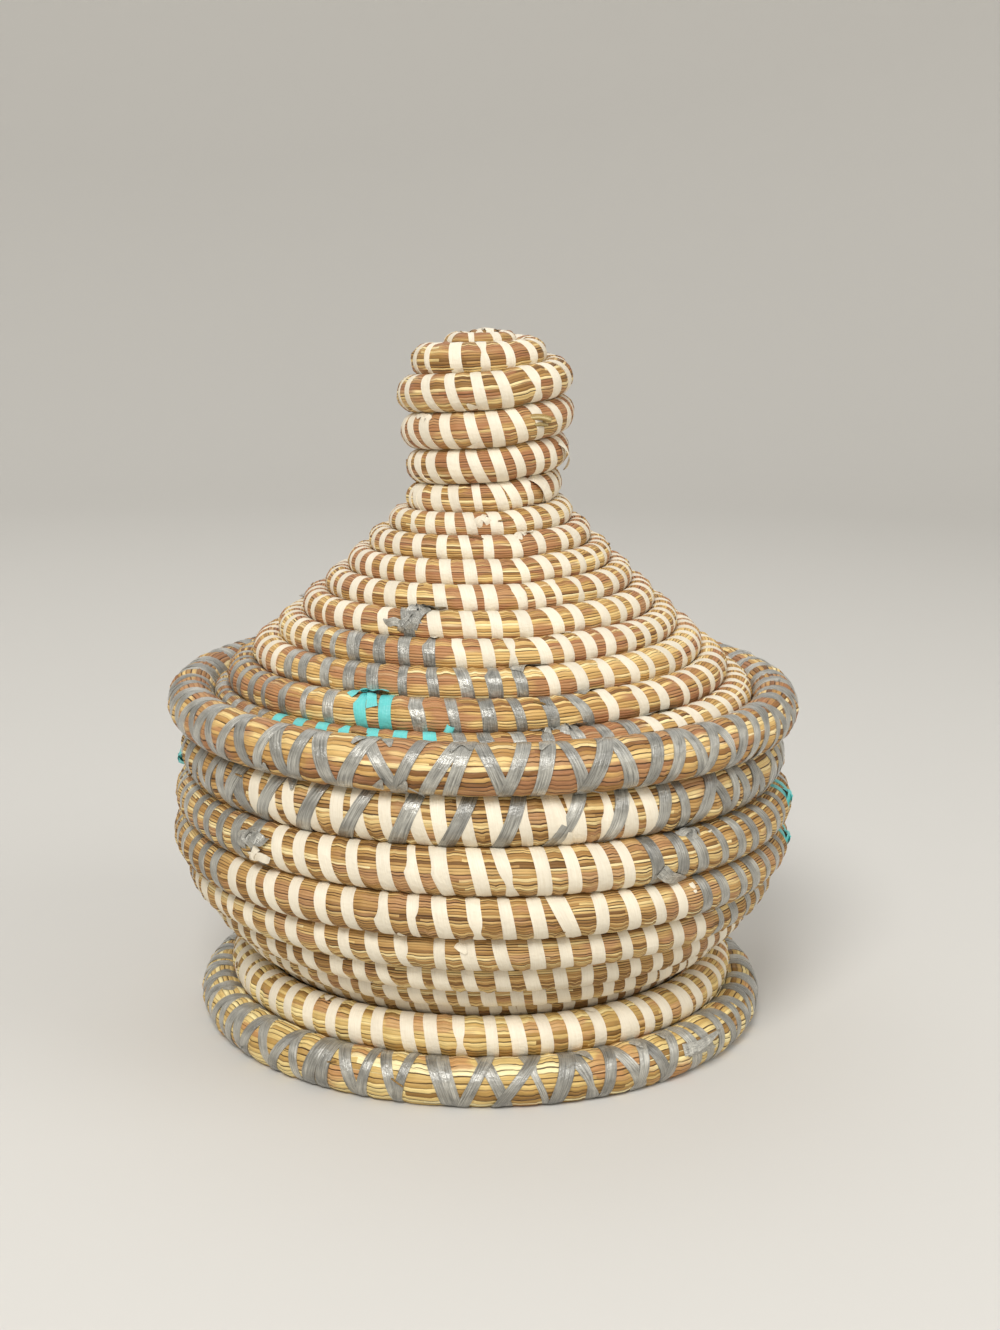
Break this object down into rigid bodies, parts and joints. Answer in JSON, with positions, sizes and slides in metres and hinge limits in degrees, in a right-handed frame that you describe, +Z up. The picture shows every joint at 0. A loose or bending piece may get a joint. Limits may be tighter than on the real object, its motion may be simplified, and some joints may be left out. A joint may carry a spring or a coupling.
{
  "type": "lidded coiled basket",
  "caption": "Round coiled-grass basket on a low foot, with a cone-shaped lift-off lid that ends in a hollow knob.",
  "frame": {"origin": "centre of the basket's foot, on the surface it stands on", "axes": "+Z up along the basket's axis; the ends of the coils are behind, towards +Y"},
  "size_m": [0.18, 0.18, 0.1964],
  "materials": {
    "grass_with_white_strips": "golden brown dry grass, wound with matte warm white plastic strips",
    "grass_with_grey_strips": "golden dry grass, wound crosswise with satin grey plastic strips",
    "plain_grass": "dry grass with few strips showing"
  },
  "bodies": {
    "bowl": {"foot_lower_coil": "grass_with_grey_strips", "foot_upper_coil": "grass_with_white_strips", "bowl_floor_coil": "plain_grass", "bowl_corner_coil": "grass_with_white_strips", "bowl_wall_coil": "grass_with_white_strips", "bowl_rim_coil": "grass_with_grey_strips"},
    "lid": {"knob_coil": "grass_with_white_strips", "cone_upper_coil": "grass_with_white_strips", "cone_lower_coil": "grass_with_white_strips", "lid_rim_coil": "grass_with_grey_strips", "lid_seat_coil": "plain_grass"}
  },
  "joints": [
    {"name": "lid_lift", "type": "slide", "parent": "bowl", "child": "lid", "axis": [0, 0, 1], "range_m": [0, 0.12]}
  ]
}
